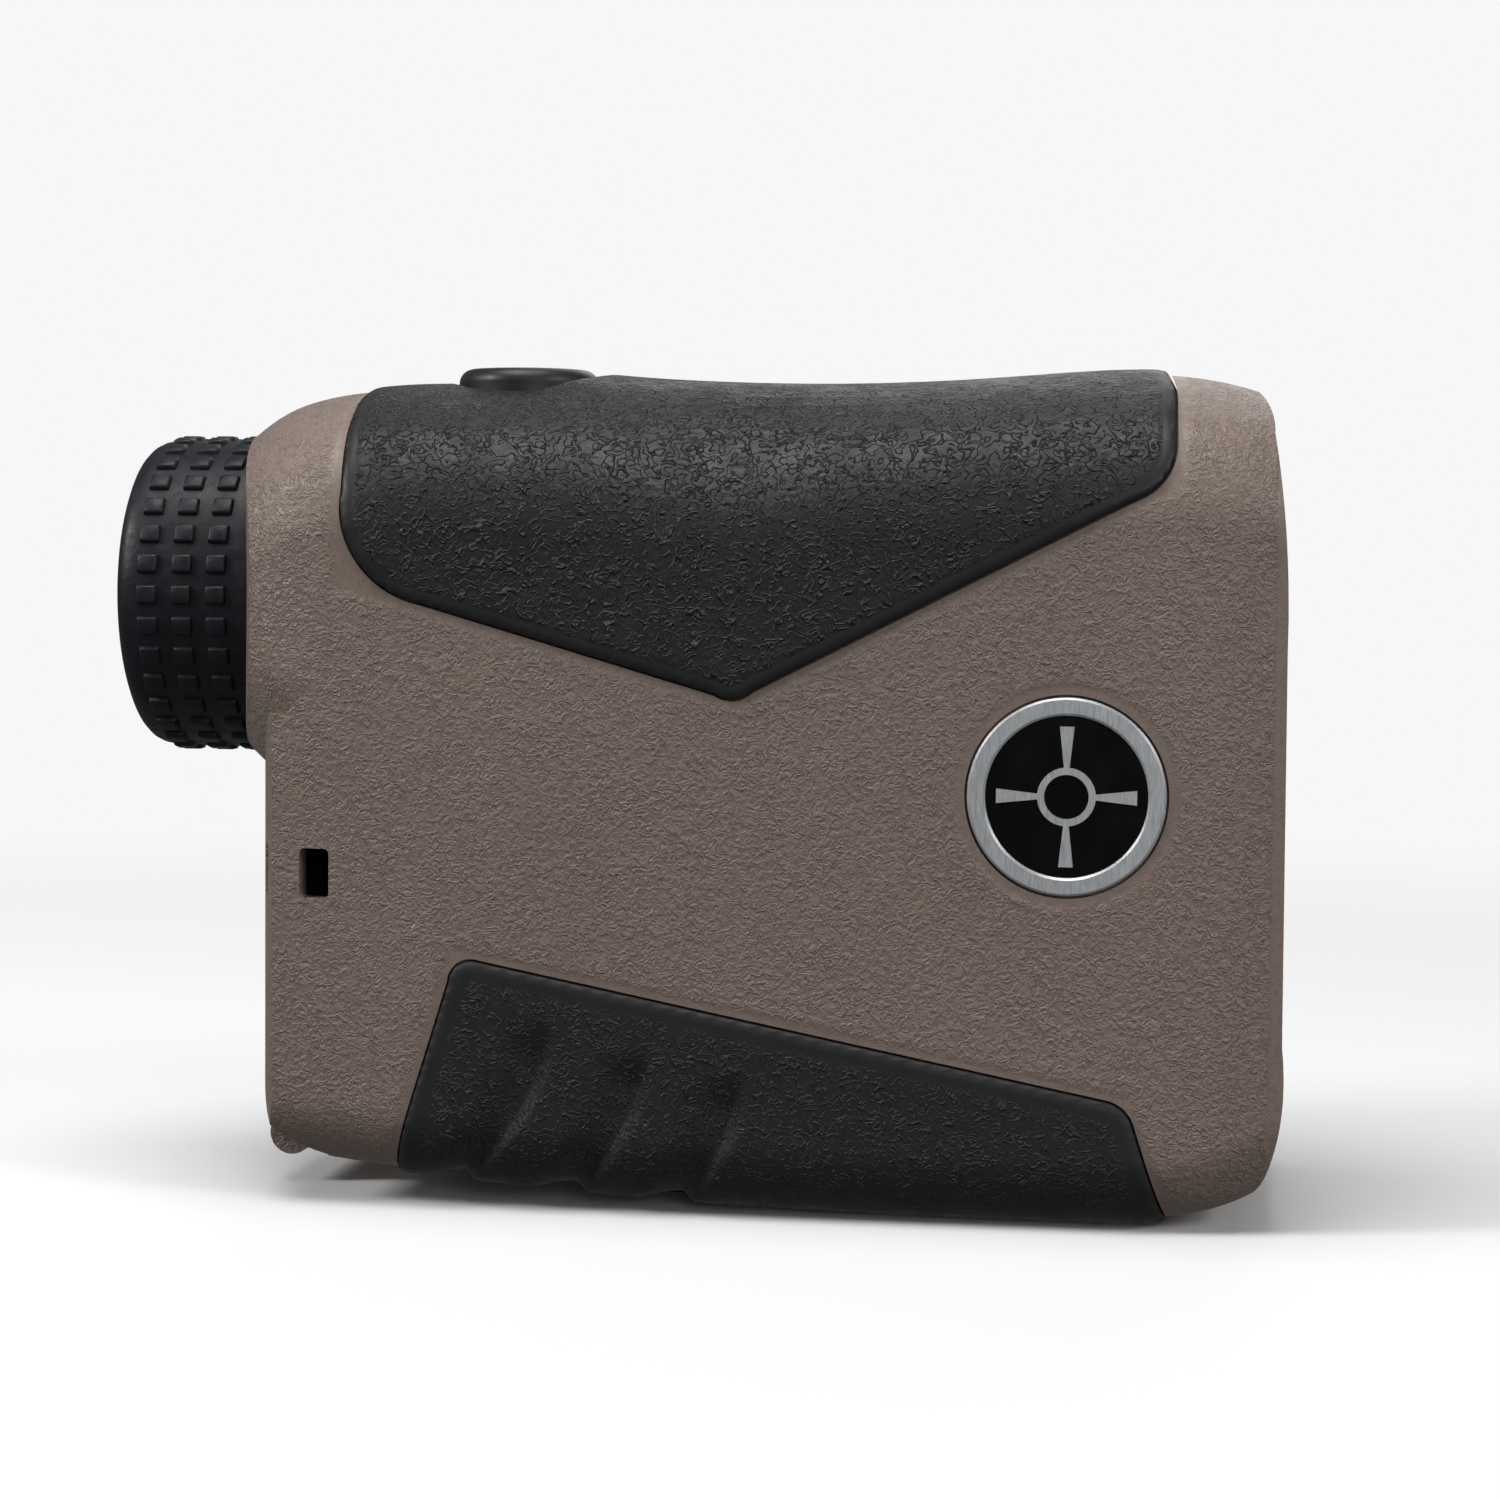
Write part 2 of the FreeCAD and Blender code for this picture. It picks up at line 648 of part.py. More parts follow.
def battery_spring():
    """The contact in the bottom of the tube, a short coil."""
    coil = Part.makeHelix(0.4, 0.9, 2.5)
    start = coil.Edges[0].valueAt(coil.Edges[0].FirstParameter)
    ring = Part.Wire([Part.Circle(start, V(0, 1, 0), 0.15).toShape()])
    spring = Part.Wire(coil.Edges).makePipeShell([ring], True, True)
    spring.rotate(V(0, 0, 0), V(0, 1, 0), 90)
    spring.translate(V(-8.35, 0, battery_z))
    return spring


# ---- badge ----

def badge_ring():
    y = -half_width
    ring = rod_y(y - 0.15, y + 0.95, badge_r, badge_x, badge_z)
    ring = ring.cut(rod_y(y - 1, y + 2, badge_r - 1.55, badge_x, badge_z))
    edge = [e for e in ring.Edges if e.BoundBox.YLength < 1e-6 and e.BoundBox.YMin < y]
    return ring.makeChamfer(0.2, edge)


def badge_disc():
    y = -half_width
    return rod_y(y + 0.25, y + 0.95, badge_r - 1.6, badge_x, badge_z)


def badge_emblem():
    """A plain reticle: a small ring with four tapered bars."""
    y0, y1 = -half_width - 0.05, -half_width + 0.25
    emblem = rod_y(y0, y1, 2.5, badge_x, badge_z).cut(rod_y(y0 - 1, y1 + 1, 1.9, badge_x, badge_z))
    for turn in range(4):
        bar = side_prism([(badge_x + 2.3, badge_z - 0.22), (badge_x + 6.0, badge_z - 0.62),
                          (badge_x + 6.0, badge_z + 0.62), (badge_x + 2.3, badge_z + 0.22)], y0, y1)
        bar.rotate(V(badge_x, 0, badge_z), V(0, 1, 0), 90 * turn)
        emblem = emblem.fuse(bar)
    return emblem.removeSplitter()


def tripod_insert():
    insert = rod_z(1.0, 1.0 + tripod_length, 4.5, tripod_x)
    return insert.cut(rod_z(-1, 20, tripod_minor_r, tripod_x))


left_shell, right_shell = casing_halves()
save("left_shell", left_shell)
save("right_shell", right_shell)
for piece in (top_grip, lower_grip, front_bezel, front_gasket, bezel_screws, case_screws, optics_frame,
              objective_cell, objective_lens, objective_retainer, laser_tube, laser_lens, laser_retainer,
              laser_diode, laser_board, prism_holder, half_penta_prism, roof_prism, receiver_module,
              display_frame, display_glass, eyepiece_tube, ocular_cell, eye_lens, ocular_retainer,
              field_lens, diopter_carrier, diopter_ring, eyecup, main_board, button_board, fire_switch,
              mode_switch, fire_button, mode_button, battery_door, hinge_pin, door_contact, battery_tube,
              battery, battery_spring, badge_ring, badge_disc, badge_emblem, tripod_insert):
    save(piece.__name__, piece())
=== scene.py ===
import math
import bmesh
import bpy
from mathutils import Matrix, Vector
from mathutils.bvhtree import BVHTree


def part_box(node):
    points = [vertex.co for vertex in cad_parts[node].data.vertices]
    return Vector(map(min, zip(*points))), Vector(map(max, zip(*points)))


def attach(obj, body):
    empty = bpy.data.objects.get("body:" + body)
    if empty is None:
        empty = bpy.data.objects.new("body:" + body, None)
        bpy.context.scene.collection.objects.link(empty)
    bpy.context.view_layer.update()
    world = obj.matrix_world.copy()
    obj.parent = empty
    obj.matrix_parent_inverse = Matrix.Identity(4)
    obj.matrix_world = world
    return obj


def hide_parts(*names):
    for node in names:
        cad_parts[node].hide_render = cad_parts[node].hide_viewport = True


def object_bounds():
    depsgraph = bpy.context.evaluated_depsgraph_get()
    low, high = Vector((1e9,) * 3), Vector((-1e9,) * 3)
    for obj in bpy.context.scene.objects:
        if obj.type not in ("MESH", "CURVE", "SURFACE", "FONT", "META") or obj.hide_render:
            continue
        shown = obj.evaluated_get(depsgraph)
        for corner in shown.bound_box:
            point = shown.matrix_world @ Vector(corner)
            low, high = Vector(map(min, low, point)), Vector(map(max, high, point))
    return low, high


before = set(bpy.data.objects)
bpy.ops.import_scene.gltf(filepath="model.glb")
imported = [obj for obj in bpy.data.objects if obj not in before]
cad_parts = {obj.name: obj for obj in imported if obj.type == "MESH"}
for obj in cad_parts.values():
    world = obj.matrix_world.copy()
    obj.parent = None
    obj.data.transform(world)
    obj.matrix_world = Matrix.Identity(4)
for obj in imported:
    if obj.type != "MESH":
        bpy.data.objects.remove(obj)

mm = 0.001
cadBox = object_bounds()
scene = bpy.context.scene
scene.view_settings.view_transform = "Standard"


def linear(r, g, b):  # a colour given in the 0-255 steps of a paint chart
    def one(value):
        value = value / 255
        return value / 12.92 if value <= 0.04045 else ((value + 0.055) / 1.055) ** 2.4
    return (one(r), one(g), one(b), 1.0)


# node helpers: every texture reads Object coordinates, in metres

def makeMaterial(name, colour, rough, **sockets):
    material = bpy.data.materials.new(name)
    material.use_nodes = True
    tree = material.node_tree
    shader = tree.nodes["Principled BSDF"]
    shader.inputs["Base Color"].default_value = colour
    shader.inputs["Roughness"].default_value = rough
    for socket, value in sockets.items():
        shader.inputs[socket.replace("_", " ")].default_value = value
    return material, tree, shader


def addNode(tree, kind, inputs=None, **settings):
    made = tree.nodes.new(kind)
    for key, value in settings.items():
        setattr(made, key, value)
    for key, value in (inputs or {}).items():
        if isinstance(value, bpy.types.NodeSocket):
            tree.links.new(value, made.inputs[key])
        else:
            made.inputs[key].default_value = value
    return made


def objectPlace(tree, stretch=(1, 1, 1), turn=(0, 0, 0)):
    place = addNode(tree, "ShaderNodeTexCoord").outputs["Object"]
    if stretch == (1, 1, 1) and turn == (0, 0, 0):
        return place
    return addNode(tree, "ShaderNodeMapping", {0: place, 2: turn, 3: stretch}).outputs[0]


def noiseField(tree, place, size, detail, bend=0.0):  # size is the pattern's pitch in mm
    inputs = {"Vector": place, "Scale": 1 / (size * mm), "Detail": detail, "Distortion": bend}
    return addNode(tree, "ShaderNodeTexNoise", inputs).outputs[0]


def cellEdges(tree, place, size):  # distance to the nearest border between cells
    inputs = {"Vector": place, "Scale": 1 / (size * mm)}
    return addNode(tree, "ShaderNodeTexVoronoi", inputs, feature="DISTANCE_TO_EDGE").outputs[0]


def calc(tree, operation, a, b=0.0):
    return addNode(tree, "ShaderNodeMath", {0: a, 1: b}, operation=operation).outputs[0]


def fade(tree, value, low, high, start=0.0, end=1.0):
    inputs = {"Value": value, "From Min": low, "From Max": high, "To Min": start, "To Max": end}
    return addNode(tree, "ShaderNodeMapRange", inputs, interpolation_type="SMOOTHSTEP").outputs[0]


def ridges(tree, field, width):  # thin raised lines where the field passes its middle
    off = calc(tree, "ABSOLUTE", calc(tree, "SUBTRACT", field, 0.5))
    return fade(tree, off, 0.0, width, 1.0, 0.0)


def colourRamp(tree, value, stops):
    ramp = addNode(tree, "ShaderNodeValToRGB", {0: value})
    elements = ramp.color_ramp.elements
    while len(elements) < len(stops):
        elements.new(0.5)
    for element, (position, colour) in zip(elements, stops):
        element.position = position
        element.color = colour
    return ramp.outputs[0]


def bumped(tree, shader, height, depth, before=None):  # depth in mm
    inputs = {"Height": height, "Distance": depth * mm, "Strength": 1.0}
    if before is not None:
        inputs["Normal"] = before
    normal = addNode(tree, "ShaderNodeBump", inputs).outputs[0]
    tree.links.new(normal, shader.inputs["Normal"])
    return normal


def shade(colour, factor):
    return tuple(c * factor for c in colour[:3]) + (1.0,)


def mottle(tree, shader, field, colour, darkest, lightest):  # the field's pattern in the colour
    stops = [(0.3, shade(colour, darkest)), (0.7, shade(colour, lightest))]
    tree.links.new(colourRamp(tree, field, stops), shader.inputs["Base Color"])


def unevenGloss(tree, shader, field, smoothest, roughest):
    tree.links.new(fade(tree, field, 0.3, 0.7, smoothest, roughest), shader.inputs["Roughness"])


# moulded plastic and rubber without a pattern: pitches in mm
satinFinish = {"mottlePitch": 9.0, "darkest": 0.88, "lightest": 1.1, "glossPitch": 3.0}


def satinPlastic(name, colour, rough=0.45, grain=0.25, depth=0.012, **sockets):
    s = satinFinish
    material, tree, shader = makeMaterial(name, colour, rough, **sockets)
    place = objectPlace(tree)
    fine = noiseField(tree, place, grain, 3.0)
    broad = noiseField(tree, place, s["mottlePitch"], 3.0)
    mottle(tree, shader, broad, colour, s["darkest"], s["lightest"])
    unevenGloss(tree, shader, noiseField(tree, place, s["glossPitch"], 4.0), rough - 0.06, rough + 0.07)
    bumped(tree, shader, fine, depth)
    return material


# metal parts: fine drawn lines along the X axis
metalFinish = {"linePitch": 0.12, "lineStretch": (0.04, 1.0, 1.0), "lineDepth": 0.004,
               "darkest": 0.82, "lightest": 1.08}


def machinedMetal(name, colour, rough):
    s = metalFinish
    material, tree, shader = makeMaterial(name, colour, rough, Metallic=1.0)
    lines = noiseField(tree, objectPlace(tree, s["lineStretch"]), s["linePitch"], 4.0)
    mottle(tree, shader, lines, colour, s["darkest"], s["lightest"])
    unevenGloss(tree, shader, lines, rough - 0.08, rough + 0.12)
    bumped(tree, shader, lines, s["lineDepth"])
    return material


# lens glass: a dark body whose colour turns to the coating's tint towards the edges as seen from the camera,
# a painted reflection of the coating
glassFinish = {"clearness": 0.75, "index": 1.52, "polish": 0.03, "coatPolish": 0.02, "dustPitch": 0.8}


def coatedGlass(name, colour, tint):
    s = glassFinish
    material, tree, shader = makeMaterial(
        name, colour, s["polish"], Transmission_Weight=s["clearness"], IOR=s["index"], Coat_Weight=1.0,
        Coat_Roughness=s["coatPolish"], Coat_Tint=tint)
    # painted reflection: the base colour lightens to the coating's tint where the surface turns away from
    # the camera
    facing = addNode(tree, "ShaderNodeLayerWeight", {"Blend": 0.35}).outputs["Facing"]
    stops = [(0.0, colour), (0.6, shade(tint, 0.35)), (1.0, shade(tint, 0.8))]
    tree.links.new(colourRamp(tree, facing, stops), shader.inputs["Base Color"])
    dust = noiseField(tree, objectPlace(tree), s["dustPitch"], 5.0)
    tree.links.new(fade(tree, dust, 0.45, 0.8, 0.02, 0.09), shader.inputs["Roughness"])
    return material


# circuit boards: a green mask with raised tracks between its cells
boardFinish = {"mask": linear(18, 74, 40), "rough": 0.35, "cell": 2.2, "trackWidth": 0.06,
               "trackHeight": 0.03}


def circuitBoard(name):
    s = boardFinish
    material, tree, shader = makeMaterial(name, s["mask"], s["rough"])
    cells = cellEdges(tree, objectPlace(tree), s["cell"])
    tracks = fade(tree, cells, s["trackWidth"] / 2, s["trackWidth"], 1.0, 0.0)
    stops = [(0.0, s["mask"]), (1.0, shade(s["mask"], 2.2))]
    tree.links.new(colourRamp(tree, tracks, stops), shader.inputs["Base Color"])
    bumped(tree, shader, tracks, s["trackHeight"])
    return material


# the tan casing: a fine leather grain that fades out beside the grips, the badge and the front rim
casingFinish = {
    "colour": linear(133, 117, 107),
    "rough": 0.43,
    "grainPitch": 0.78,      # mm
    "grainDepth": 0.17,      # mm
    "wrinkleWidth": 0.13,
    "wrinkleShare": 0.55,
    "pebbleShare": 0.9,
    "pitShade": 0.86,         # painted shade: how dark the pits between the grain are
    "fadeFrom": 0.25,        # mm outside a grip's edge
    "fadeTo": 1.6,
    "badgeMargin": (0.5, 1.8),
    "rimWidth": 1.1,
    "rimFade": 0.5,
    "leftInGrain": 0.08,     # share of the grain's depth that the faded places keep
    "poreDepth": 0.006,
}

# straight sides of the two grips' outlines in the side view: a point on each, and its outward direction
topGripSides = [((-30.3, 65.0), (-1.0, -0.06)), ((-10.0, 49.8), (-0.28, -1.0)),
                ((25.0, 55.6), (0.51, -1.0)), ((42.5, 68.0), (1.0, 0.03))]
lowerGripSides = [((-23.7, 8.2), (-3.24, 1.0)), ((10.0, 16.8), (0.193, 1.0)), ((41.8, 3.0), (2.9, 1.0))]


def besideOutline(tree, place, sides):  # distance outside a convex outline, in metres
    parts = addNode(tree, "ShaderNodeSeparateXYZ", {0: place})
    furthest = None
    for (x, z), (dx, dz) in sides:
        size = math.hypot(dx, dz)
        across = calc(tree, "MULTIPLY", calc(tree, "SUBTRACT", parts.outputs[0], x * mm), dx / size)
        up = calc(tree, "MULTIPLY", calc(tree, "SUBTRACT", parts.outputs[2], z * mm), dz / size)
        side = calc(tree, "ADD", across, up)
        furthest = side if furthest is None else calc(tree, "MAXIMUM", furthest, side)
    return furthest


def leatherGrain(tree, place, pitch):
    s = casingFinish
    wrinkle = ridges(tree, noiseField(tree, place, pitch, 1.0, 1.1), s["wrinkleWidth"])
    pebble = noiseField(tree, place, pitch * 0.72, 2.0, 0.4)
    patchy = fade(tree, noiseField(tree, place, pitch * 3.1, 2.0), 0.35, 0.65, 0.45, 1.0)
    raised = calc(tree, "MULTIPLY", calc(tree, "MULTIPLY", wrinkle, s["wrinkleShare"]), patchy)
    return calc(tree, "ADD", raised, calc(tree, "MULTIPLY", pebble, s["pebbleShare"]))


def besideBadge(tree, place):  # 0 next to the badge, 1 away from it and on the other side of the casing
    low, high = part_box("badge_ring")
    centre = (low + high) / 2
    radius = (high.x - low.x) / 2
    near, far = casingFinish["badgeMargin"]
    parts = addNode(tree, "ShaderNodeSeparateXYZ", {0: place})
    dx = calc(tree, "SUBTRACT", parts.outputs[0], centre.x)
    dz = calc(tree, "SUBTRACT", parts.outputs[2], centre.z)
    squares = calc(tree, "ADD", calc(tree, "MULTIPLY", dx, dx), calc(tree, "MULTIPLY", dz, dz))
    away = fade(tree, calc(tree, "SQRT", squares), radius + near * mm, radius + far * mm)
    otherSide = fade(tree, parts.outputs[1], -10 * mm, -8 * mm)
    return calc(tree, "MAXIMUM", away, otherSide)


def behindRim(tree, place):  # 0 on the plain rim round the front, 1 behind it
    s = casingFinish
    along = addNode(tree, "ShaderNodeSeparateXYZ", {0: place}).outputs[0]
    start = cadBox[1].x - s["rimWidth"] * mm
    return fade(tree, along, start - s["rimFade"] * mm, start, 1.0, 0.0)


def tanPlastic(name, tone=1.0, fades=True):
    s = casingFinish
    colour = shade(s["colour"], tone)
    material, tree, shader = makeMaterial(name, colour, s["rough"])
    place = objectPlace(tree)
    grain = leatherGrain(tree, place, s["grainPitch"])
    height = grain
    if fades:
        beside = calc(tree, "MINIMUM", besideOutline(tree, place, topGripSides),
                      besideOutline(tree, place, lowerGripSides))
        clear = fade(tree, beside, s["fadeFrom"] * mm, s["fadeTo"] * mm)
        clear = calc(tree, "MULTIPLY", calc(tree, "MULTIPLY", clear, besideBadge(tree, place)),
                     behindRim(tree, place))
        height = calc(tree, "MULTIPLY", grain, fade(tree, clear, 0.0, 1.0, s["leftInGrain"], 1.0))
    broad = noiseField(tree, place, 26.0, 3.0)
    broadTone = colourRamp(tree, broad, [(0.3, shade(colour, 0.95)), (0.7, shade(colour, 1.05))])
    # painted shade in the pits between the grain, and a slightly lighter colour on the raised grain as a
    # painted highlight
    pits = fade(tree, grain, 0.25, 0.75, s["pitShade"], 1.04)
    mixed = addNode(tree, "ShaderNodeVectorMath", {0: broadTone, 1: pits}, operation="MULTIPLY").outputs[0]
    tree.links.new(mixed, shader.inputs["Base Color"])
    unevenGloss(tree, shader, noiseField(tree, place, 1.4, 3.0), s["rough"] - 0.05, s["rough"] + 0.08)
    micro = noiseField(tree, place, 0.14, 2.0)
    first = bumped(tree, shader, height, s["grainDepth"])
    bumped(tree, shader, micro, s["poreDepth"], first)
    return material


# the grips' rubber: raised worms on the top grip, a duller and finer grain on the lower one
topGripFinish = {
    "colour": linear(34, 34, 35),
    "rough": 0.47,
    "wormPitch": 1.15,       # mm
    "wormDepth": 0.34,
    "bandFrom": 1.05,        # mm from the edge: smooth up to here, worms from there on
    "bandTo": 1.7,
}
lowerGripFinish = {
    "colour": linear(34, 34, 35),
    "rough": 0.52,
    "wormPitch": 1.05,
    "wormDepth": 0.17,
    "bandFrom": 1.2,
    "bandTo": 2.6,
}
wormShape = {
    "width": 0.085,          # how broad a worm is, as a share of the field it is cut from
    "bend": 1.5,
    "fadedHeight": 0.35,     # what is left of a worm where it runs out
    "lumpShare": 0.35,
    # painted shade between the worms and painted highlight on them: colour factors from the low ground to
    # the raised worms
    "darkest": 0.85,
    "lightest": 1.25,
}


def wormRubber(name, s):
    w = wormShape
    colour, pitch, rough = s["colour"], s["wormPitch"], s["rough"]
    material, tree, shader = makeMaterial(name, colour, rough, Specular_IOR_Level=0.4)
    place = objectPlace(tree)
    worms = ridges(tree, noiseField(tree, place, pitch, 0.0, w["bend"]), w["width"])
    broken = fade(tree, noiseField(tree, place, pitch * 1.3, 0.0), 0.40, 0.50, w["fadedHeight"], 1.0)
    lumps = calc(tree, "MULTIPLY", noiseField(tree, place, pitch * 0.45, 2.0), w["lumpShare"])
    grain = calc(tree, "ADD", calc(tree, "MULTIPLY", worms, broken), lumps)
    edge = addNode(tree, "ShaderNodeAttribute", attribute_name="edgeDistance").outputs["Fac"]
    pastBand = fade(tree, edge, s["bandFrom"] * mm, s["bandTo"] * mm)
    height = calc(tree, "MULTIPLY", grain, pastBand)
    # painted light: the colour follows the worms' height, lighter on the raised worms as a painted highlight
    # and darker between them as painted shade; the smooth band round the edge takes the darker colour
    wormGlintAndShade = calc(tree, "MULTIPLY", fade(tree, grain, 0.2, 1.2), pastBand)
    stops = [(0.0, shade(colour, w["darkest"])), (1.0, shade(colour, w["lightest"]))]
    tree.links.new(colourRamp(tree, wormGlintAndShade, stops), shader.inputs["Base Color"])
    unevenGloss(tree, shader, noiseField(tree, place, 2.5, 3.0), rough - 0.05, rough + 0.08)
    first = bumped(tree, shader, height, s["wormDepth"])
    bumped(tree, shader, noiseField(tree, place, 0.12, 2.0), 0.006, first)
    return material


# mesh helpers

def meshOf(name, bm, material, sharpFrom):  # sharpFrom in degrees, 0 where nothing stays sharp
    mesh = bpy.data.meshes.new(name)
    bm.to_mesh(mesh)
    bm.free()
    mesh.shade_smooth()
    if sharpFrom:
        mesh.set_sharp_from_angle(angle=math.radians(sharpFrom))
    mesh.materials.append(material)
    made = bpy.data.objects.new(name, mesh)
    scene.collection.objects.link(made)
    return made


def mergedCopy(node):
    bm = bmesh.new()
    bm.from_mesh(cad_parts[node].data)
    sameSpot = 0.0005 * mm
    bmesh.ops.remove_doubles(bm, verts=bm.verts, dist=sameSpot)
    bmesh.ops.dissolve_degenerate(bm, edges=bm.edges, dist=sameSpot)
    return bm


def appliedMesh(made):  # what the object's modifiers make of it, as a plain mesh
    bpy.context.view_layer.update()
    return bpy.data.meshes.new_from_object(made.evaluated_get(bpy.context.evaluated_depsgraph_get()))


def paint(node, material):
    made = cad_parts[node]
    made.data.materials.clear()
    made.data.materials.append(material)


def stand(name, node, body, material, slot, sharpFrom=30):  # a smooth-shaded copy of a CAD node
    made = meshOf(name, mergedCopy(node), material, sharpFrom)
    evened = made.modifiers.new("evened", "WEIGHTED_NORMAL")
    evened.keep_sharp = True
    evened.weight = 80
    made.data = appliedMesh(made)
    made.modifiers.remove(evened)
    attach(made, body)
    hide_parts(node)


def smoothstep(low, high, value):
    t = min(max((value - low) / (high - low), 0.0), 1.0)
    return t * t * (3 - 2 * t)


# camera
viewSettings = {
    "turn": 8.4,             # degrees to the left of square-on
    "drop": 3.3,             # degrees downwards
    "roll": 0.5,
    "distance": 322.0,       # mm
    "aim": (3.6, 0.0, 40.0),
    "lens": 84.0,
}


def makeCamera():
    s = viewSettings
    turn, drop, roll = (math.radians(s[key]) for key in ("turn", "drop", "roll"))
    look = Vector((-math.sin(turn) * math.cos(drop), math.cos(turn) * math.cos(drop), -math.sin(drop)))
    flatRight = Vector((math.cos(turn), math.sin(turn), 0))
    flatUp = flatRight.cross(look)
    right = flatRight * math.cos(roll) + flatUp * math.sin(roll)
    up = flatUp * math.cos(roll) - flatRight * math.sin(roll)
    data = bpy.data.cameras.new("camera")
    data.lens = s["lens"]
    data.sensor_width = 36.0
    data.clip_start = 0.01
    camera = bpy.data.objects.new("camera", data)
    scene.collection.objects.link(camera)
    place = (Vector(s["aim"]) - look * s["distance"]) * mm
    camera.matrix_world = Matrix((
        (right.x, up.x, -look.x, place.x), (right.y, up.y, -look.y, place.y),
        (right.z, up.z, -look.z, place.z), (0, 0, 0, 1)))
    scene.camera = camera


makeCamera()
print("camera placed")


# floor and lights
studio = {
    "floorColour": 0.92,
    "floorReach": 0.9,       # m, where the floor starts to curve up
    "curve": 1.2,
    "curveSteps": 12,
    "turnSteps": 64,
    "wallTop": 2.2,
    "glow": 0.93,            # the far floor's and backdrop's own light, which evens them out
    "glowFrom": 0.08,        # m from the middle
    "glowTo": 0.42,
    "worldColour": (0.96, 0.975, 1.0, 1.0),
    "worldStrength": 0.15,
    "lightsAim": (0.0, 0.0, 0.04),
}

# place, size and power of each soft light; all of them point at the middle of the casing
softLights = {
    "overhead": {"place": (-0.06, -0.10, 0.62), "size": 0.42, "power": 2.4},
    "leftSide": {"place": (-0.58, -0.26, 0.40), "size": 0.20, "power": 2.3},
    "rightSide": {"place": (0.62, -0.30, 0.38), "size": 0.26, "power": 1.5},
    "behind": {"place": (0.05, 0.62, 0.45), "size": 0.5, "power": 0.9},
    "front": {"place": (0.30, -0.80, 0.24), "size": 0.4, "power": 0.9},
}


def makeStage():
    s = studio
    bm = bmesh.new()
    profile = [(0.0, 0.0), (0.3, 0.0), (0.8, 0.0), (s["floorReach"], 0.0)]
    for step in range(1, s["curveSteps"] + 1):
        angle = math.radians(90 * step / s["curveSteps"])
        profile.append((s["floorReach"] + s["curve"] * math.sin(angle), s["curve"] * (1 - math.cos(angle))))
    profile.append((s["floorReach"] + s["curve"], s["wallTop"]))
    verts = [bm.verts.new((radius, 0, z)) for radius, z in profile]
    edges = [bm.edges.new(pair) for pair in zip(verts, verts[1:])]
    bmesh.ops.spin(bm, geom=verts + edges, cent=(0, 0, 0), axis=(0, 0, 1), angle=math.tau,
                   steps=s["turnSteps"], use_merge=True)
    bmesh.ops.remove_doubles(bm, verts=bm.verts, dist=1e-5)
    pale, black, white = (s["floorColour"],) * 3 + (1.0,), (0, 0, 0, 1), (1, 1, 1, 1)
    material, tree, shader = makeMaterial("paleFloor", pale, 0.75, Specular_IOR_Level=0.0,
                                          Emission_Strength=s["glow"])
    away = addNode(tree, "ShaderNodeVectorMath", {0: objectPlace(tree)}, operation="LENGTH")
    far = fade(tree, away.outputs["Value"], s["glowFrom"], s["glowTo"])
    tree.links.new(colourRamp(tree, far, [(0.0, pale), (1.0, black)]), shader.inputs["Base Color"])
    tree.links.new(colourRamp(tree, far, [(0.0, black), (1.0, white)]), shader.inputs["Emission Color"])
    stage = meshOf("floor", bm, material, 0)
    stage.visible_diffuse = False    # the backdrop doesn't light the casing
    stage.visible_glossy = False


def makeLights():
    world = bpy.data.worlds.new("studio")
    scene.world = world
    world.use_nodes = True
    back = world.node_tree.nodes["Background"]
    back.inputs[0].default_value = studio["worldColour"]
    back.inputs[1].default_value = studio["worldStrength"]
    target = Vector(studio["lightsAim"])
    for name, s in softLights.items():
        data = bpy.data.lights.new(name, "AREA")
        data.shape = "DISK"
        data.size = s["size"]
        data.energy = s["power"]
        light = bpy.data.objects.new(name, data)
        scene.collection.objects.link(light)
        light.location = s["place"]
        light.rotation_euler = (target - Vector(s["place"])).to_track_quat("-Z", "Y").to_euler()


makeStage()
makeLights()
print("stage lit")


# casing halves, door and bezel
tan = tanPlastic("tanCasing")
tanDoor = tanPlastic("tanDoor", 0.94, False)
paint("left_shell", tan)
paint("right_shell", tan)
stand("batteryDoor", "battery_door", "door", tanDoor, "tan_door", 28)
bezelBlack = satinPlastic("bezelBlack", linear(38, 38, 40), 0.5, 0.3, 0.02)
stand("frontBezel", "front_bezel", "casing", bezelBlack, "black_plastic")
print("casing dressed")


# grips: a fine skin grown from the CAD solid, with a rounded edge, hollows and raised parts
gripForm = {
    "voxel": 0.36,           # mm
    "edgeRadius": 0.5,
    "edgeSink": 0.75,        # share of that radius by which the edge drops
    "projectFrom": 0.4,      # mm from the edge: the skin follows the CAD face from there on
    "middleHeight": 35.0,
    "smoothing": 0.35,
    "lipHeight": 0.95,       # mound ahead of the fire button
    "lipReach": 9.5,
    "lipSides": (7.0, 15.5),
    "lipTurn": (0.1, 0.75),  # cosines of the angle ahead of the button where the mound starts and is full
    "wellRadius": 8.1,       # dish round the fire button
    "wellBelow": 6.0,
    "hollow": (5.0, 66.5),   # finger hollow in the top grip's side, x and z
    "hollowSize": (9.5, 5.5),
    "hollowDepth": 1.0,
}
fingerGrooves = [(-11.5, 16.7), (-2.9, 14.5), (5.5, 12.7)]  # upper end of each groove, x and z
grooveForm = {
    "bend": 0.038,           # how far a groove leans to the rear as it runs down
    "depth": 0.95,
    "gentle": 5.0,           # width of its rear slope
    "steep": 1.2,            # and of its front one
    "runIn": (-0.8, 3.0),
    "sides": (6.0, 12.0),    # mm from the middle plane: no groove, full groove
}


def rimTree(bm):  # the walls round a grip's outline: their normals lie in the side view's plane
    rims = [face for face in bm.faces if abs(face.normal.y) < 0.03 and abs(face.normal.x) > 0.1]
    corners, walls = [], []
    for face in rims:
        start = len(corners)
        corners += [vert.co.copy() for vert in face.verts]
        walls.append([start + i for i in range(len(face.verts))])
    return BVHTree.FromPolygons(corners, walls)


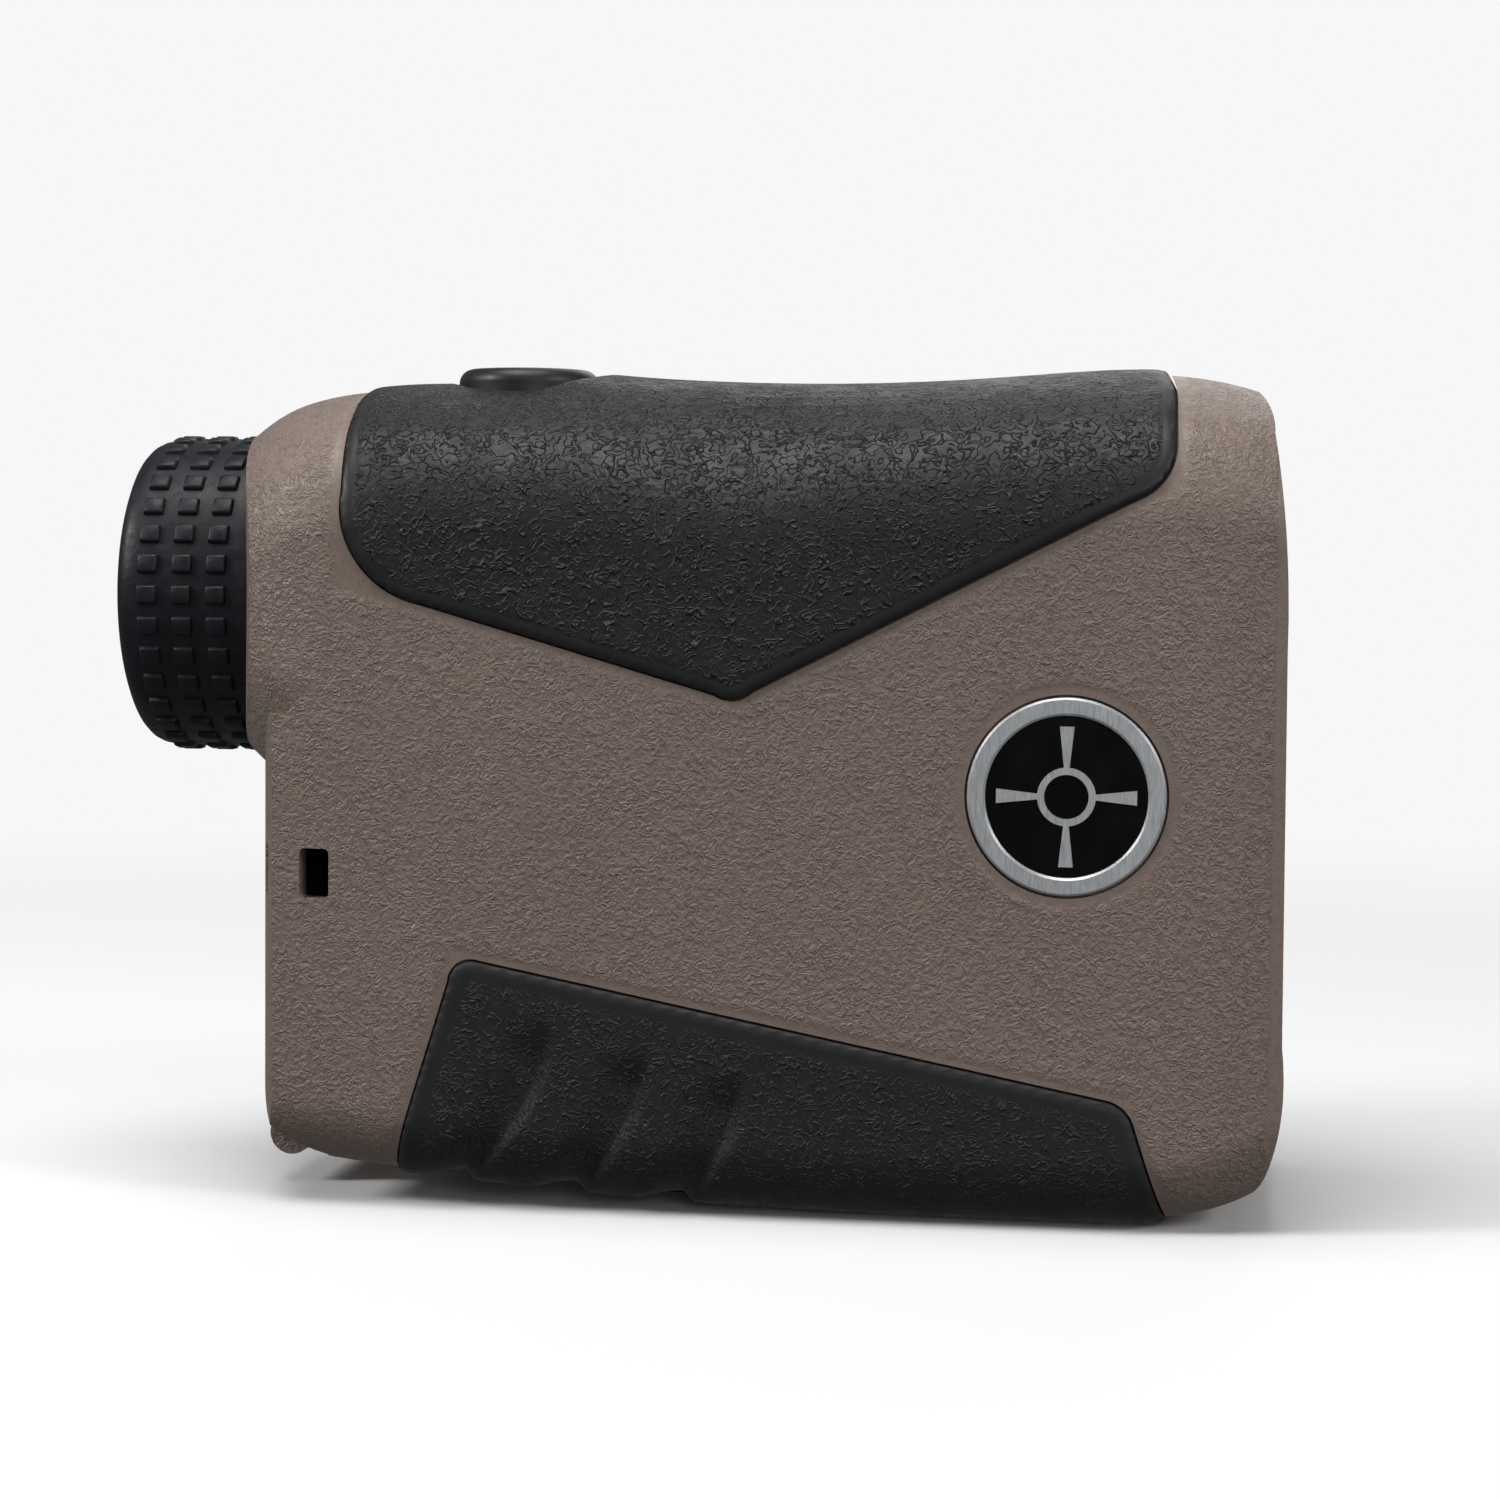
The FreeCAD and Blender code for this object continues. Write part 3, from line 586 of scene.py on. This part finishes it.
def fineSkin(name, node, voxel):
    bm = mergedCopy(node)
    bm.normal_update()
    surface = BVHTree.FromBMesh(bm)
    rim = rimTree(bm)
    rough = bpy.data.meshes.new(name + "Rough")
    bm.to_mesh(rough)
    bm.free()
    holder = bpy.data.objects.new(name + "Rough", rough)
    scene.collection.objects.link(holder)
    remesh = holder.modifiers.new("remesh", "REMESH")
    remesh.mode = "VOXEL"
    remesh.voxel_size = voxel * mm
    fine = appliedMesh(holder)
    bpy.data.objects.remove(holder)
    made = bmesh.new()
    made.from_mesh(fine)
    return made, surface, rim


fireButtonMiddle = (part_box("fire_button")[0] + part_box("fire_button")[1]) / 2


def topGripLift(place, normal, s):
    button = fireButtonMiddle
    ahead = Vector((place.x - button.x, place.y)) / mm
    lift = 0.0
    if place.z > button.z - s["wellBelow"] * mm and ahead.length > 0:
        front = smoothstep(*s["lipTurn"], ahead.x / ahead.length)
        rise = smoothstep(s["wellRadius"] - 1.0, s["wellRadius"] + 0.3, ahead.length)
        fall = math.exp(-max(ahead.length - s["wellRadius"], 0) / s["lipReach"])
        across = 1 - smoothstep(*s["lipSides"], abs(ahead.y))
        lift = s["lipHeight"] * front * rise * fall * across
    dx = (place.x / mm - s["hollow"][0]) / s["hollowSize"][0]
    dz = (place.z / mm - s["hollow"][1]) / s["hollowSize"][1]
    hollow = s["hollowDepth"] * math.exp(-(dx * dx + dz * dz)) * smoothstep(0.15, 0.6, abs(normal.y))
    return (lift - hollow) * mm


def lowerGripLift(place, normal, s):
    x, z = place.x / mm, place.z / mm
    side = smoothstep(*s["sides"], abs(place.y) / mm)
    deepest = 0.0
    for topX, topZ in fingerGrooves:
        drop = topZ - z
        line = topX - s["bend"] * max(drop, 0) ** 2
        off = x - line
        shape = smoothstep(-s["gentle"], 0, off) if off < 0 else 1 - smoothstep(0, s["steep"], off)
        deepest = max(deepest, shape * smoothstep(*s["runIn"], drop))
    return -s["depth"] * deepest * side * mm


def growGrip(name, node, lift, settings, material):
    s = gripForm
    bm, surface, rim = fineSkin(name, node, s["voxel"])
    edge = bm.verts.layers.float.new("edgeDistance")
    radius = s["edgeRadius"] * mm
    moved = []
    for vert in bm.verts:
        near, normal = surface.find_nearest(vert.co)[:2]
        toRim = rim.find_nearest(vert.co)[3]
        vert[edge] = toRim
        fromMiddle = Vector((0, vert.co.y, vert.co.z - s["middleHeight"] * mm))
        outward = normal.dot(fromMiddle) > 0 and abs(normal.x) < 0.6
        place = near.copy() if outward and toRim > s["projectFrom"] * mm else vert.co.copy()
        if outward:
            sunk = 0.0
            if toRim < radius:
                sunk = radius - math.sqrt(max(radius ** 2 - (radius - toRim) ** 2, 0))
            place += normal * (lift(place, normal, settings) - min(sunk, s["edgeSink"] * radius))
        moved.append(place)
    for vert, place in zip(bm.verts, moved):
        vert.co = place
    bmesh.ops.smooth_vert(bm, verts=bm.verts, factor=s["smoothing"], use_axis_x=True, use_axis_y=True,
                          use_axis_z=True)
    bmesh.ops.recalc_face_normals(bm, faces=bm.faces)
    made = meshOf(name, bm, material, 0)
    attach(made, "casing")
    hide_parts(node)
    print(name, "has", len(made.data.polygons), "faces")


topRubber = wormRubber("topGripRubber", topGripFinish)
lowerRubber = wormRubber("lowerGripRubber", lowerGripFinish)
growGrip("topGrip", "top_grip", topGripLift, gripForm, topRubber)
growGrip("lowerGrip", "lower_grip", lowerGripLift, grooveForm, lowerRubber)
print("grips grown")


# focusing ring: a turned sleeve with three rows of rounded square knobs
ringForm = {
    "rows": 3,
    "perRow": 32,
    "pitch": 3.2,            # mm, row to row
    "firstRow": 3.2,         # from the ring's rear end
    "knob": (1.95, 1.75),    # along the axis, round the ring
    "knobRise": 0.4,
    "knobSink": 0.35,
    "knobRounding": 0.2,
    "frontBevel": 0.25,
    "segments": 160,
    "sharpFrom": 40,         # degrees
}

# the rolled lip at the ring's rear end, from the outside in: mm ahead of the end, mm inside the sleeve
lipOutline = [(2.6, 0.0), (1.9, 0.03), (1.2, 0.16), (0.65, 0.42), (0.25, 0.82), (0.05, 1.25), (0.0, 1.5),
              (0.12, 1.64), (0.5, 1.66), (1.85, 1.66)]


def spunRing(bm, profile, centreZ, segments):  # profile of (x, radius) in metres, closed
    verts = [bm.verts.new((x, 0, centreZ + radius)) for x, radius in profile]
    edges = [bm.edges.new((verts[i], verts[(i + 1) % len(verts)])) for i in range(len(verts))]
    bmesh.ops.spin(bm, geom=verts + edges, cent=(0, 0, centreZ), axis=(1, 0, 0), angle=math.tau,
                   steps=segments, use_merge=True)
    bmesh.ops.remove_doubles(bm, verts=bm.verts, dist=0.001 * mm)
    bmesh.ops.recalc_face_normals(bm, faces=bm.faces)


def ringSleeve(centreZ):
    s = ringForm
    low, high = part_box("diopter_ring")
    outer = (high.z - low.z) / 2 - s["knobRise"] * mm
    coreLow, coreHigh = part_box("diopter_carrier")
    bore = (coreHigh.z - coreLow.z) / 2
    bevel = s["frontBevel"] * mm
    lip = [(low.x + ahead * mm, outer - deep * mm) for ahead, deep in lipOutline]
    sleeve = [(lip[-1][0], bore), (high.x, bore), (high.x, outer - bevel), (high.x - bevel, outer)]
    bm = bmesh.new()
    spunRing(bm, lip + sleeve, centreZ, s["segments"])
    return bm


def knobBlank():
    s = ringForm
    bm = bmesh.new()
    bmesh.ops.create_cube(bm, size=1.0)
    height = s["knobRise"] + s["knobSink"]
    for vert in bm.verts:
        taper = 0.9 if vert.co.z > 0 else 1.06
        vert.co = Vector((vert.co.x * s["knob"][0] * taper, vert.co.y * s["knob"][1] * taper,
                          (vert.co.z - 0.5) * height)) * mm
    shown = [e for e in bm.edges if max(v.co.z for v in e.verts) > -0.1 * mm]  # all but the sunk foot's
    bmesh.ops.bevel(bm, geom=shown, offset=s["knobRounding"] * mm, segments=2, profile=0.5, affect="EDGES")
    return bm


def knobRowsTree():
    tree = bpy.data.node_groups.new("knobRows", "GeometryNodeTree")
    sockets = [("Geometry", "Geometry"), ("Rows", "Int"), ("Per Row", "Int"), ("Pitch", "Float"),
               ("First Row", "Float"), ("Radius", "Float"), ("Axis Height", "Float"), ("Knob", "Object"),
               ("Finish", "Material")]
    for name, kind in sockets:
        tree.interface.new_socket(name=name, in_out="INPUT", socket_type="NodeSocket" + kind)
    tree.interface.new_socket(name="Geometry", in_out="OUTPUT", socket_type="NodeSocketGeometry")
    given = tree.nodes.new("NodeGroupInput").outputs
    start = addNode(tree, "ShaderNodeCombineXYZ", {0: given["First Row"]})
    step = addNode(tree, "ShaderNodeCombineXYZ", {0: given["Pitch"]})
    rows = addNode(tree, "GeometryNodeMeshLine", {
        "Count": given["Rows"], "Start Location": start.outputs[0], "Offset": step.outputs[0]})
    circle = addNode(tree, "GeometryNodeMeshCircle", {
        "Vertices": given["Per Row"], "Radius": given["Radius"]})
    upright = addNode(tree, "GeometryNodeTransform", {"Geometry": circle.outputs[0],
                                                      "Rotation": (0, math.pi / 2, 0)})
    rings = addNode(tree, "GeometryNodeInstanceOnPoints", {"Points": rows.outputs[0],
                                                           "Instance": upright.outputs[0]})
    points = addNode(tree, "GeometryNodeRealizeInstances", {0: rings.outputs[0]})
    place = tree.nodes.new("GeometryNodeInputPosition")
    outward = addNode(tree, "ShaderNodeVectorMath", {0: place.outputs[0], 1: (0, 1, 1)},
                      operation="MULTIPLY")
    facing = addNode(tree, "FunctionNodeAlignRotationToVector", {"Vector": outward.outputs[0]},
                     axis="Z", pivot_axis="X")
    knob = addNode(tree, "GeometryNodeObjectInfo", {"Object": given["Knob"]}, transform_space="ORIGINAL")
    knobs = addNode(tree, "GeometryNodeInstanceOnPoints", {"Points": points.outputs[0],
                                                           "Instance": knob.outputs["Geometry"],
                                                           "Rotation": facing.outputs[0]})
    lift = addNode(tree, "ShaderNodeCombineXYZ", {2: given["Axis Height"]})
    placed = addNode(tree, "GeometryNodeTransform", {"Geometry": knobs.outputs[0],
                                                     "Translation": lift.outputs[0]})
    both = tree.nodes.new("GeometryNodeJoinGeometry")
    tree.links.new(given["Geometry"], both.inputs[0])
    tree.links.new(placed.outputs[0], both.inputs[0])
    whole = addNode(tree, "GeometryNodeRealizeInstances", {0: both.outputs[0]})
    dressed = addNode(tree, "GeometryNodeSetMaterial", {"Geometry": whole.outputs[0],
                                                        "Material": given["Finish"]})
    smooth = addNode(tree, "GeometryNodeSetShadeSmooth", {
        "Geometry": dressed.outputs[0], "Shade Smooth": True})
    out = tree.nodes.new("NodeGroupOutput")
    tree.links.new(smooth.outputs[0], out.inputs[0])
    return tree


def grownMesh(holder, tree, values):  # the tree's result as a plain mesh
    modifier = holder.modifiers.new(tree.name, "NODES")
    modifier.node_group = tree
    for item in tree.interface.items_tree:
        if item.in_out == "INPUT" and item.name in values:
            modifier[item.identifier] = values[item.name]
    mesh = appliedMesh(holder)
    holder.modifiers.remove(modifier)
    return mesh


def makeRing(material):
    s = ringForm
    low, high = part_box("diopter_ring")
    centreZ = (low.z + high.z) / 2
    ring = meshOf("focusRing", ringSleeve(centreZ), material, s["sharpFrom"])
    blank = meshOf("knobBlank", knobBlank(), material, 0)
    values = {"Rows": s["rows"], "Per Row": s["perRow"], "Pitch": s["pitch"] * mm,
              "First Row": low.x + s["firstRow"] * mm, "Radius": (high.z - low.z) / 2,
              "Axis Height": centreZ, "Knob": blank, "Finish": material}
    ring.data = grownMesh(ring, knobRowsTree(), values)
    ring.data.set_sharp_from_angle(angle=math.radians(s["sharpFrom"]))
    bpy.data.objects.remove(blank)
    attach(ring, "ring")
    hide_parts("diopter_ring")


# the ring's rubber: blue-black, with a fine uneven skin
ringFinish = {"colour": linear(17, 19, 25), "smoothest": 0.38, "roughest": 0.55, "skinPitch": 0.5,
              "skinDepth": 0.03, "porePitch": 0.1, "poreDepth": 0.006}


def ringRubber():
    s = ringFinish
    material, tree, shader = makeMaterial("ringRubber", s["colour"], s["smoothest"], Specular_IOR_Level=0.35)
    place = objectPlace(tree)
    mottle(tree, shader, noiseField(tree, place, 5.0, 3.0), s["colour"], 0.8, 1.25)
    unevenGloss(tree, shader, noiseField(tree, place, 1.2, 4.0), s["smoothest"], s["roughest"])
    first = bumped(tree, shader, noiseField(tree, place, s["skinPitch"], 4.0), s["skinDepth"])
    bumped(tree, shader, noiseField(tree, place, s["porePitch"], 2.0), s["poreDepth"], first)
    return material


ringBlack = ringRubber()
makeRing(ringBlack)
print("focusing ring made")


# eyepiece, front optics and buttons
eyecupRubber = satinPlastic("eyecupRubber", linear(26, 26, 29), 0.6, 0.2, 0.015)
blackMetal = machinedMetal("blackMetal", linear(52, 52, 56), 0.42)
barrelPlastic = satinPlastic("barrelPlastic", linear(30, 30, 31), 0.5)
greenCoat = coatedGlass("greenCoatedGlass", linear(20, 30, 26), linear(120, 190, 150))
violetCoat = coatedGlass("violetCoatedGlass", linear(22, 20, 34), linear(150, 120, 200))
buttonRubber = satinPlastic("buttonRubber", linear(26, 26, 28), 0.42, 0.18, 0.01)
roundPieces = [  # new piece, the node it stands for, its body, finish and slot
    ("eyecup", "eyecup", "ring", eyecupRubber, "ring_rubber"),
    ("ringCore", "diopter_carrier", "ring", barrelPlastic, "black_plastic"),
    ("ocularCell", "ocular_cell", "ocular", blackMetal, "black_aluminium"),
    ("ocularRetainer", "ocular_retainer", "ocular", blackMetal, "black_aluminium"),
    ("eyepieceTube", "eyepiece_tube", "casing", blackMetal, "black_aluminium"),
    ("eyeLens", "eye_lens", "ocular", greenCoat, "lens_glass"),
    ("fieldLens", "field_lens", "ocular", greenCoat, "lens_glass"),
    ("objectiveCell", "objective_cell", "casing", blackMetal, "black_aluminium"),
    ("objectiveRetainer", "objective_retainer", "casing", blackMetal, "black_aluminium"),
    ("objectiveLens", "objective_lens", "casing", greenCoat, "lens_glass"),
    ("laserTube", "laser_tube", "casing", blackMetal, "black_aluminium"),
    ("laserRetainer", "laser_retainer", "casing", blackMetal, "black_aluminium"),
    ("laserLens", "laser_lens", "casing", violetCoat, "lens_glass"),
    ("fireButton", "fire_button", "fire", buttonRubber, "button_rubber"),
    ("modeButton", "mode_button", "mode", buttonRubber, "button_rubber"),
]
for piece in roundPieces:
    stand(*piece)
print("optics and buttons dressed")


# badge: brushed silver over glossy black
silverFinish = {"colour": linear(205, 208, 210), "metal": 0.6, "brushPitch": 0.09, "brushDepth": 0.006,
                "brushLean": 30, "smoothest": 0.3, "roughest": 0.48}


def brushedSilver():
    s = silverFinish
    material, tree, shader = makeMaterial("brushedSilver", s["colour"], s["smoothest"], Metallic=s["metal"])
    along = objectPlace(tree, (1.0, 1.0, 0.08), (0, math.radians(s["brushLean"]), 0))
    lines = noiseField(tree, along, s["brushPitch"], 4.0)
    mottle(tree, shader, lines, s["colour"], 0.8, 1.1)
    unevenGloss(tree, shader, lines, s["smoothest"], s["roughest"])
    bumped(tree, shader, lines, s["brushDepth"])
    return material


silver = brushedSilver()
badgeBlack = satinPlastic("badgeBlack", linear(4, 4, 5), 0.2, 0.15, 0.003, Specular_IOR_Level=0.25)
stand("badgeRing", "badge_ring", "casing", silver, "silver_metal", 25)
stand("badgeDisc", "badge_disc", "casing", badgeBlack, "badge_black", 25)
stand("badgeEmblem", "badge_emblem", "casing", silver, "silver_metal", 25)
print("badge dressed")


# what is inside or small
steel = machinedMetal("plainSteel", linear(150, 150, 153), 0.32)
brass = machinedMetal("plainBrass", linear(190, 155, 90), 0.32)
sealRubber = satinPlastic("sealRubber", linear(24, 24, 24), 0.7, 0.2, 0.01)
sleeve = satinPlastic("batterySleeve", linear(70, 74, 84), 0.3, 0.5, 0.004)
board = circuitBoard("circuitBoard")
prismGlass = coatedGlass("prismGlass", linear(200, 210, 205), linear(220, 225, 230))
inside = {
    "front_gasket": sealRubber, "bezel_screws": steel, "case_screws": steel, "optics_frame": barrelPlastic,
    "laser_diode": steel, "laser_board": board, "prism_holder": barrelPlastic,
    "half_penta_prism": prismGlass, "roof_prism": prismGlass, "receiver_module": board,
    "display_frame": barrelPlastic, "display_glass": prismGlass, "main_board": board, "button_board": board,
    "fire_switch": steel, "mode_switch": steel, "hinge_pin": steel, "door_contact": brass,
    "battery_tube": barrelPlastic, "battery": sleeve, "battery_spring": steel, "tripod_insert": brass,
}
for node, material in inside.items():
    paint(node, material)
print("inner parts dressed")
